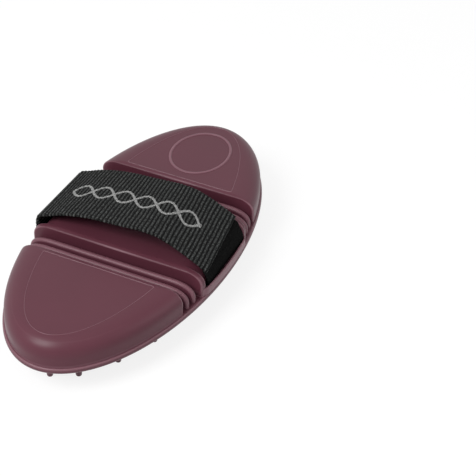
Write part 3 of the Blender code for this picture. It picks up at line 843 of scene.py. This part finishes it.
def ribbon_rings(path, half, thickness, rib_depth=0.0, skew=0.0, shift=0.0):
    """Sections of a strap along a path in Y and Z, with the distance of each along the path.
    The half thickness is t/2 - depth (1 - rib). The whole strap stands to one side by shift."""
    edge = thickness / 2
    turn = np.linspace(-np.pi / 2, np.pi / 2, 5)
    across = np.linspace(edge - half, half - edge, 25)[1:-1]
    x = np.concatenate(
        [half - edge + edge * np.cos(turn), across[::-1],
         edge - half - edge * np.cos(turn), across]
    )
    n = np.concatenate(
        [np.sin(turn), np.ones(len(across)), np.sin(turn)[::-1], -np.ones(len(across))]
    )
    s = lengths(path)
    thick = edge - rib_depth * (1 - rib(s[:, None], x))
    spot, out = along_band(s[:, None], x[None], path, skew)
    spot = spot + out * (n * thick)[..., None]
    place = np.broadcast_to(x + shift, spot.shape[:2])[..., None]
    return np.concatenate([place, spot], 2), s, x


def ribbon(name, path, half, thickness, **ribs):
    """A strap along a path, with distance along and place across in a UV map, both in metres."""
    rings, s, x = ribbon_rings(path, half, thickness, **ribs)
    points, quads, triangles = closed_stack(rings)
    piece = new_mesh(name, points, quads, triangles)
    along = np.concatenate([np.repeat(s, len(x)), s[[0, -1]]])
    across = np.concatenate([np.tile(x, len(s)), [0, 0]])
    corner_of = np.empty(len(piece.data.loops), dtype=np.int32)
    piece.data.loops.foreach_get("vertex_index", corner_of)
    layer = piece.data.uv_layers.new(name="along")
    layer.uv.foreach_set("vector", np.stack([along, across], 1)[corner_of].ravel())
    print(f"{name}: {len(quads)} quads")
    return piece


webbing = ribbon(
    "strap_webbing", band_path, STRAP_HALF, BAND_THICKNESS, rib_depth=RIB_DEPTH, skew=SKEW
)
webbing_hem = ribbon("strap_hem", hem_path, STRAP_HALF, BAND_THICKNESS)
hook_patch = ribbon("strap_hook_face", patch_path, TAPE_HALF, PATCH_THICKNESS)
loop_tape = ribbon(
    "strap_loop_face", tape_path, TAPE_HALF, TAPE_THICKNESS, shift=TAPE_SHIFT
)

# %% [markdown]
# On the closing side the tape goes down behind a thin lip of rubber that runs on from the wall.
# The lip is a bar with a round top, bent along the rim. Towards its two ends it sinks and draws
# in, so that it grows out of the wall.

# %% Lip outside the tape
LIP_HALF, LIP_TAPER = 21.6 * MM, 3.2 * MM
LIP_TOP, LIP_OUTER, LIP_INNER = 18.3 * MM, 0.12 * MM, 0.92 * MM
LIP_SINK = LIP_INNER - LIP_OUTER + 0.1 * MM


def lip_rings():
    """Sections of the lip in Y and Z, one at each place along X."""
    rings = []
    turn = np.linspace(0, np.pi, 9)
    middle, radius = (LIP_OUTER + LIP_INNER) / 2, (LIP_INNER - LIP_OUTER) / 2
    for x in np.linspace(-LIP_HALF, LIP_HALF, 61):
        sunk = (1 - smooth_step((LIP_HALF - abs(x)) / LIP_TAPER)) * LIP_SINK
        inset = np.concatenate([[LIP_OUTER], middle - radius * np.cos(turn), [LIP_INNER]]) + sunk
        crest = LIP_TOP - radius + radius * np.sin(turn)
        z = np.concatenate([[BACK_FOOT], crest, [BACK_FOOT]])
        y = -oval_side(x, inset)
        rings.append(np.stack([np.full_like(y, x), y, z], 1))
    return rings


lip = stack_piece("strap_lip", lip_rings(), 60)

# %% [markdown]
# ## Plain decoration
#
# The webbing carries a plain motif in thread, and the front back a raised oval. The motif is two
# sine waves that cross like the strands of a rope, laid on the webbing as flat threads.

# %% Thread motif and ring
MOTIF_START, MOTIF_END = 24 * MM, 88 * MM
MOTIF_HEIGHT, MOTIF_PITCH = 4.2 * MM, 21 * MM
THREAD_HALF, THREAD_RISE = 0.6 * MM, 0.16 * MM
# A tight thread spans the furrows and sinks into them by this share of their depth only.
THREAD_SINK = 0.6


def on_band(s, x, lift):
    """Points lifted off the outer face of the strap, at distance s along it and x across it."""
    spot, out = along_band(s, x, band_path, SKEW)
    surface = BAND_THICKNESS / 2 - THREAD_SINK * RIB_DEPTH * (1 - rib(s, x))
    spot = spot - out * (surface + lift)[..., None]
    return np.concatenate([x[..., None], spot], -1)


def thread_rings(phase):
    """A strand x = height sin(2 pi s / pitch + phase) with a low domed section."""
    s = np.arange(MOTIF_START, MOTIF_END, 0.25 * MM)
    angle = 2 * np.pi * (s - MOTIF_START) / MOTIF_PITCH + phase
    x = MOTIF_HEIGHT * np.sin(angle)
    slope = MOTIF_HEIGHT * np.cos(angle) * 2 * np.pi / MOTIF_PITCH
    size = np.hypot(1, slope)
    dome = np.linspace(0, 2 * np.pi, 10, endpoint=False)
    offset = THREAD_HALF * np.cos(dome)
    lift = THREAD_RISE * np.sin(dome)
    s_ring = s[:, None] - (slope / size)[:, None] * offset
    x_ring = x[:, None] + (1 / size)[:, None] * offset
    return on_band(s_ring, x_ring, np.broadcast_to(lift, s_ring.shape))


threads = [
    stack_piece(f"strap_thread_{number}", thread_rings(number * np.pi), 180)
    for number in (0, 1)
]

RING_CENTRE = np.array([59.5, -0.5]) * MM
RING_AXES = np.array([17.0, 13.5]) * MM
RING_HALF, RING_RISE = 0.65 * MM, 0.35 * MM


def ring_piece():
    """An oval bead lying on the flat of the front back."""
    turn = np.linspace(0, 2 * np.pi, 128, endpoint=False)
    dome = np.linspace(0, 2 * np.pi, 14, endpoint=False)
    around = np.stack([np.cos(turn), np.sin(turn)], 1)
    axes = RING_AXES + RING_HALF * np.cos(dome)[:, None]
    plan = RING_CENTRE + around[:, None] * axes[None]
    z = np.broadcast_to(BACK_TOP + RING_RISE * np.sin(dome), plan.shape[:2])
    rings = np.concatenate([plan, z[..., None]], 2)
    quads = grid_quads(len(turn) + 1, len(dome)) % (len(turn) * len(dome))
    return new_mesh("front_oval", rings.reshape(-1, 3), quads[:, ::-1])


oval = ring_piece()

# %% [markdown]
# ## Shader arithmetic
#
# Written out node by node, a shader is hard to read. A small class wraps an output, so that
# Python's own signs make the Math nodes and a formula in the code looks like a formula.

# %% A socket that does sums
class Socket:
    """One output of a node. The signs + - * / ** make Math nodes, and node() makes any other."""

    def __init__(self, tree, output=None):
        self.tree, self.output = tree, output

    def node(self, kind, output=0, inputs=None, **settings):
        made = self.tree.nodes.new(kind)
        for name, value in settings.items():
            setattr(made, name, value)
        for name, value in (inputs or {}).items():
            self.feed(value, made.inputs[name])
        return Socket(self.tree, made.outputs[output])

    def feed(self, value, target):
        """Links a Socket to an input, or sets a plain value on it."""
        if isinstance(value, Socket):
            self.tree.links.new(value.output, target)
        else:
            target.default_value = value

    def math(self, operation, *values):
        return self.node("ShaderNodeMath", inputs=dict(enumerate(values)), operation=operation)

    def __add__(self, other):
        return self.math("ADD", self, other)

    def __sub__(self, other):
        return self.math("SUBTRACT", self, other)

    def __mul__(self, other):
        return self.math("MULTIPLY", self, other)

    def __truediv__(self, other):
        return self.math("DIVIDE", self, other)

    def __pow__(self, other):
        return self.math("POWER", self, other)

    def mix(self, low, high):
        """A colour between two others, with this socket as the share of the second."""
        return self.node(
            "ShaderNodeMix", output=2, inputs={0: self, 6: low, 7: high}, data_type="RGBA"
        )

    def noise(self, place, scale, detail=2.0):
        wanted = {"Vector": place, "Scale": scale, "Detail": detail}
        return self.node("ShaderNodeTexNoise", inputs=wanted)

    def bump(self, height, distance, strength):
        wanted = {"Height": height, "Distance": distance, "Strength": strength}
        return self.node("ShaderNodeBump", inputs=wanted)


def new_material(name, **constants):
    """A material, its Principled shader with constants set on it, and a Socket to start from."""
    made = bpy.data.materials.new(name)
    made.use_nodes = True
    shader = made.node_tree.nodes["Principled BSDF"]
    for key, value in constants.items():
        shader.inputs[key.replace("_", " ")].default_value = value
    return made, shader, Socket(made.node_tree)


def finish(shader, start, colour, roughness, normal):
    """Feeds the three inputs of the Principled shader that vary over a surface."""
    for value, name in ((colour, "Base Color"), (roughness, "Roughness"), (normal, "Normal")):
        start.feed(value, shader.inputs[name])


# %% [markdown]
# ## Rubber
#
# The rubber is a dull wine red. Three things break it up: broad cloudy patches where mould release
# dulls it, a fine grain from the mould, and paler edges on tight rounds, which are partly wear and
# partly painted highlight. Noise averages a half, so half of its weight is taken off the roughness
# again, which leaves the average as given.

# %% Rubber materials
# Colour of the pale edges on tight rounds: partly wear, partly painted highlight.
EDGE_WEAR_AND_HIGHLIGHT = (0.30, 0.16, 0.19, 1)


def rubber(name, deep, pale, roughness):
    made, shader, start = new_material(name, Specular_IOR_Level=0.26)
    place = start.node("ShaderNodeTexCoord", output="Object")
    clouds = start.noise(place, 38.0, 3.0)
    grain = start.noise(place, 2600.0, 2.0)
    share = clouds * 0.7 + grain * 0.3
    # Tight rounds turn paler: partly wear, partly painted highlight.
    rubbed = start.node("ShaderNodeAttribute", output="Fac", attribute_name="rubbed")
    wear_and_highlight_share = rubbed * (clouds * 0.5 + 0.35)
    colour = wear_and_highlight_share.mix(share.mix(deep, pale), EDGE_WEAR_AND_HIGHLIGHT)
    dull = clouds * 0.12 + grain * 0.1 + (roughness - 0.11)
    finish(shader, start, colour, dull, start.bump(grain, 0.02 * MM, 0.5))
    return made


back_rubber = rubber("back_rubber", (0.094, 0.025, 0.039, 1), (0.120, 0.034, 0.051, 1), 0.38)
# The raised oval is paler: partly a lighter print of its own, partly painted highlight along its
# bead.
pale_rubber = rubber("pale_rubber", (0.19, 0.085, 0.11, 1), (0.24, 0.115, 0.14, 1), 0.38)
sole_rubber = rubber("sole_rubber", (0.088, 0.023, 0.036, 1), (0.112, 0.032, 0.048, 1), 0.36)
print("rubber made")

# %% Webbing, thread and tape materials
YARN_PITCH = 0.6 * MM


def cloth(name, deep, pale, roughness, specular, ribbed=0.0):
    """Lint over fine yarns that run along the strap. The furrows between the ribs can be darkened
    as painted shade, by the share |sin(pi s / pitch)| of the distance s that the mesh has its ribs
    at."""
    made, shader, start = new_material(name, Specular_IOR_Level=specular)
    uv = start.node("ShaderNodeUVMap", uv_map="along")
    parts = uv.tree.nodes.new("ShaderNodeSeparateXYZ")
    uv.feed(uv, parts.inputs[0])
    along, across = (Socket(uv.tree, parts.outputs[i]) for i in (0, 1))
    wave = across * (2 * np.pi / YARN_PITCH)
    yarns = wave.math("SINE", wave) * 0.5 + 0.5
    place = along / WOBBLE_LENGTH + across / WOBBLE_WIDTH
    turn = (along + place.math("SINE", place) * WOBBLE) * (np.pi / RIB_PITCH)
    ribs = turn.math("ABSOLUTE", turn.math("SINE", turn)) ** 2.0
    lint = start.noise(uv, 1300.0, 4.0)
    lint = lint.math("MINIMUM", (lint - 0.4) * 4.0, 1.0)
    lint = lint.math("MAXIMUM", lint, 0.0)
    # In the furrows between the ribs the cloth is darkened: painted shade.
    share = (yarns * 0.2 + lint * 0.8) * (ribs * ribbed + (1 - ribbed))
    dull = lint * 0.2 + (roughness - 0.1)
    finish(shader, start, share.mix(deep, pale), dull, start.bump(share, 0.15 * MM, 0.9))
    return made


def thread():
    made, shader, start = new_material("thread", Sheen_Weight=0.3)
    place = start.node("ShaderNodeTexCoord", output="Object")
    lint = start.noise(place, 2000.0, 3.0)
    fuzz = (lint - 0.36) * 3.0
    colour = fuzz.mix((0.09, 0.09, 0.09, 1), (0.42, 0.42, 0.41, 1))
    finish(shader, start, colour, lint * 0.2 + 0.5, start.bump(lint, 0.1 * MM, 0.7))
    return made


def plain(name, deep, pale, roughness, metallic=0.0):
    made, shader, start = new_material(name, Metallic=metallic)
    place = start.node("ShaderNodeTexCoord", output="Object")
    grain = start.noise(place, 900.0, 3.0)
    dull = grain * 0.15 + (roughness - 0.07)
    finish(shader, start, grain.mix(deep, pale), dull, start.bump(grain, 0.03 * MM, 0.4))
    return made


# The webbing gets painted shade in the furrows between its ribs.
web_cloth = cloth(
    "webbing", (0.003, 0.003, 0.003, 1), (0.125, 0.13, 0.127, 1),
    roughness=0.8, specular=0.05, ribbed=0.95,
)
tape_cloth = cloth(
    "tape", (0.008, 0.008, 0.008, 1), (0.018, 0.018, 0.018, 1), roughness=0.9, specular=0.0
)
thread_look = thread()
core_look = plain("core", (0.26, 0.26, 0.27, 1), (0.32, 0.32, 0.33, 1), 0.5)
rod_look = plain("rod", (0.5, 0.5, 0.5, 1), (0.6, 0.6, 0.61, 1), 0.35, 1.0)
print("cloth made")

# %% [markdown]
# ## Joining the pieces to the bodies
#
# Every piece rides on the body of the solid it stands for, except the bending strips and the
# webbing. Each of those crosses one joint and stays where it lies, on no body.

# %% Bodies, solids and finishes
def paint(piece, look):
    piece.data.materials.clear()
    piece.data.materials.append(look)


def dress(piece, look, slot, *nodes, body=None):
    """Gives a piece its material, body and the solids that it replaces."""
    paint(piece, look)
    # Marks the tight rounds, which the rubber shows paler as wear and painted highlight.
    mark_wear_and_highlight(piece, SEAMS if slot == "sole_rubber" else ())
    if body:
        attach(piece, body)
    if nodes:
        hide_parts(*nodes)


dress(middle_back, back_rubber, "maroon_rubber", "middle_back", body="middle")
dress(front_back, back_rubber, "maroon_rubber", "front_back", body="front")
dress(rear_back, back_rubber, "maroon_rubber", "rear_back", body="rear")
dress(oval, pale_rubber, "maroon_rubber", body="front")
dress(lip, back_rubber, "maroon_rubber", body="middle")
for (end, place), piece in ridges.items():
    body = f"{end}_flex_strip_{place}"
    dress(piece, back_rubber, "maroon_rubber", f"{end}_ridge_{place}", body=body)
for sole, teeth, body in (
    (middle_sole, middle_teeth, "middle"),
    (front_sole, front_teeth, "front"),
    (rear_sole, rear_teeth, "rear"),
):
    dress(sole, sole_rubber, "sole_rubber", f"{body}_sole", body=body)
    dress(teeth, sole_rubber, "sole_rubber", f"{body}_sole", body=body)

# Reach of the middle strip to each side of its line.
MIDDLE_REACH = 2.0 * MM
for end, side in (("front", 1), ("rear", -1)):
    inner, outer = f"{end}_flex_strip_inner", f"{end}_flex_strip_outer"
    crossings = {"inner": ("middle", inner), "middle": (inner, outer), "outer": (outer, end)}
    for (place, bodies), line in zip(crossings.items(), FLEX_LINES):
        node = f"{end}_web_inner" if place == "inner" else f"{end}_web_outer"
        piece = strips[end, place]
        dress(piece, sole_rubber, "sole_rubber", node)
        reach = MIDDLE_REACH if place == "middle" else SOLE_GAP
        start, stop = side * (line - reach), side * (line + reach)
        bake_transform(piece)

dress(webbing, web_cloth, "webbing", "strap_band")
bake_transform(webbing)
dress(webbing_hem, web_cloth, "webbing", "strap_tail", body="middle")
dress(hook_patch, tape_cloth, "strap_tape", "strap_hook_patch", body="strap")
dress(loop_tape, tape_cloth, "strap_tape", "strap_loop_tape", body="middle")
for strand in threads:
    dress(strand, thread_look, "webbing", body="strap")
# The solids inside keep their own shapes.
for node in ("middle_core", "front_core", "rear_core"):
    paint(frame["nodes"][node], core_look)
for node in ("strap_rod_left", "strap_rod_right"):
    paint(frame["nodes"][node], rod_look)

# %% [markdown]
# ## Camera, light and floor
#
# The camera was solved from the outline of the brush in the photograph, so it is given as an eye
# point and three angles. The floor is white. Where it is seen, by the camera or in a reflection,
# it is mixed with a white glow, so that it reads as a white sweep and still shows a soft shadow
# where the brush stands. The glow isn't there for the light that falls on the brush. Seen from
# below the floor is clear, so that the teeth can be looked at.

# %% Camera
EYE = np.array([-418.24, -228.49, 387.20]) * MM
FOCAL_LENGTH, SENSOR_WIDTH = 102.53, 36.0
TURN_ANGLE, LIFT_ANGLE, ROLL = np.radians([-66.562, 37.821, 2.172])


def stand(placed, side, rise, back, place):
    """Puts an object at a place, with its X, Y and Z axes along three unit vectors."""
    matrix = np.eye(4)
    matrix[:3, :4] = np.stack([side, rise, back, place], 1)
    placed.matrix_world = Matrix(matrix.tolist())


back = np.array(
    [np.sin(TURN_ANGLE) * np.cos(LIFT_ANGLE), -np.cos(TURN_ANGLE) * np.cos(LIFT_ANGLE),
     np.sin(LIFT_ANGLE)]
)
level = np.array([np.cos(TURN_ANGLE), np.sin(TURN_ANGLE), 0.0])
rise = np.cross(back, level)
right = level * np.cos(ROLL) + rise * np.sin(ROLL)
up = rise * np.cos(ROLL) - level * np.sin(ROLL)
lens = bpy.data.cameras.new("camera")
lens.lens = FOCAL_LENGTH
lens.sensor_width = SENSOR_WIDTH
camera = linked("camera", lens)
stand(camera, right, up, back, EYE)
bpy.context.scene.camera = camera

# %% Light and floor
# Rays that show the surroundings see white, and the light that falls on the brush from all round
# is weaker.
AMBIENT = 0.35
FLOOR_HALF, FLOOR_GLOW, FLOOR_SHARE = 3.0, 1.1, 0.76
LAMP_TARGET = np.array([0, 0, 0.02])
world = bpy.data.worlds.new("studio")
bpy.context.scene.world = world
world.use_nodes = True
world_tree = world.node_tree


def seen_ray(tree):
    """1 for a ray that shows the surroundings: from the camera, a reflection or a clear surface."""
    rays = tree.nodes.new("ShaderNodeLightPath")
    seen, glossy, through = (
        Socket(tree, rays.outputs[f"Is {kind} Ray"])
        for kind in ("Camera", "Glossy", "Transmission")
    )
    return seen.math("MAXIMUM", seen, glossy.math("MAXIMUM", glossy, through))


background = world_tree.nodes["Background"]
background.inputs["Color"].default_value = (1, 1, 1, 1)
brightness = seen_ray(world_tree) * (1 - AMBIENT) + AMBIENT
brightness.feed(brightness, background.inputs["Strength"])


def area_light(name, place, size, power):
    """A square lamp at a place in metres, turned to face the brush. The power is in watts."""
    lamp = bpy.data.lights.new(name, "AREA")
    lamp.shape = "SQUARE"
    lamp.size = size
    lamp.energy = power
    away = np.array(place) - LAMP_TARGET
    away /= np.linalg.norm(away)
    side = np.cross([0.0, 0.0, 1.0], away)
    side /= np.linalg.norm(side)
    stand(linked(name, lamp), side, np.cross(away, side), away, place)


area_light("key", (-0.62, 0.26, 0.74), 0.48, 6.9)
area_light("overhead", (-0.1, 0.15, 1.05), 1.0, 1.3)
area_light("right_fill", (0.45, -0.95, 0.62), 0.8, 2.0)

floor_mesh = bpy.data.meshes.new("floor")
corners = [(x * FLOOR_HALF, y * FLOOR_HALF, 0) for x, y in ((-1, -1), (1, -1), (1, 1), (-1, 1))]
floor_mesh.from_pydata(corners, [], [(0, 1, 2, 3)])
floor = linked("floor", floor_mesh)
floor_look, floor_shader, floor_start = new_material(
    "floor", Roughness=0.9, Specular_IOR_Level=0.0
)
grain = floor_start.noise(floor_start.node("ShaderNodeTexCoord", output="Object"), 60.0)
white = grain.mix((0.82, 0.82, 0.82, 1), (0.86, 0.86, 0.86, 1))
floor_start.feed(white, floor_shader.inputs["Base Color"])
glow_inputs = {"Color": (1, 1, 1, 1), "Strength": FLOOR_GLOW}
glow = floor_start.node("ShaderNodeEmission", inputs=glow_inputs)
lit = Socket(floor_start.tree, floor_shader.outputs[0])
share = seen_ray(floor_start.tree) * FLOOR_SHARE
mixed = floor_start.node("ShaderNodeMixShader", inputs={0: share, 1: lit, 2: glow})
below = floor_start.node("ShaderNodeNewGeometry", output="Backfacing")
clear = floor_start.node("ShaderNodeBsdfTransparent")
shown = floor_start.node("ShaderNodeMixShader", inputs={0: below, 1: mixed, 2: clear})
floor_start.feed(shown, floor_start.tree.nodes["Material Output"].inputs["Surface"])
floor_mesh.materials.append(floor_look)
bpy.context.scene.view_settings.view_transform = "Standard"
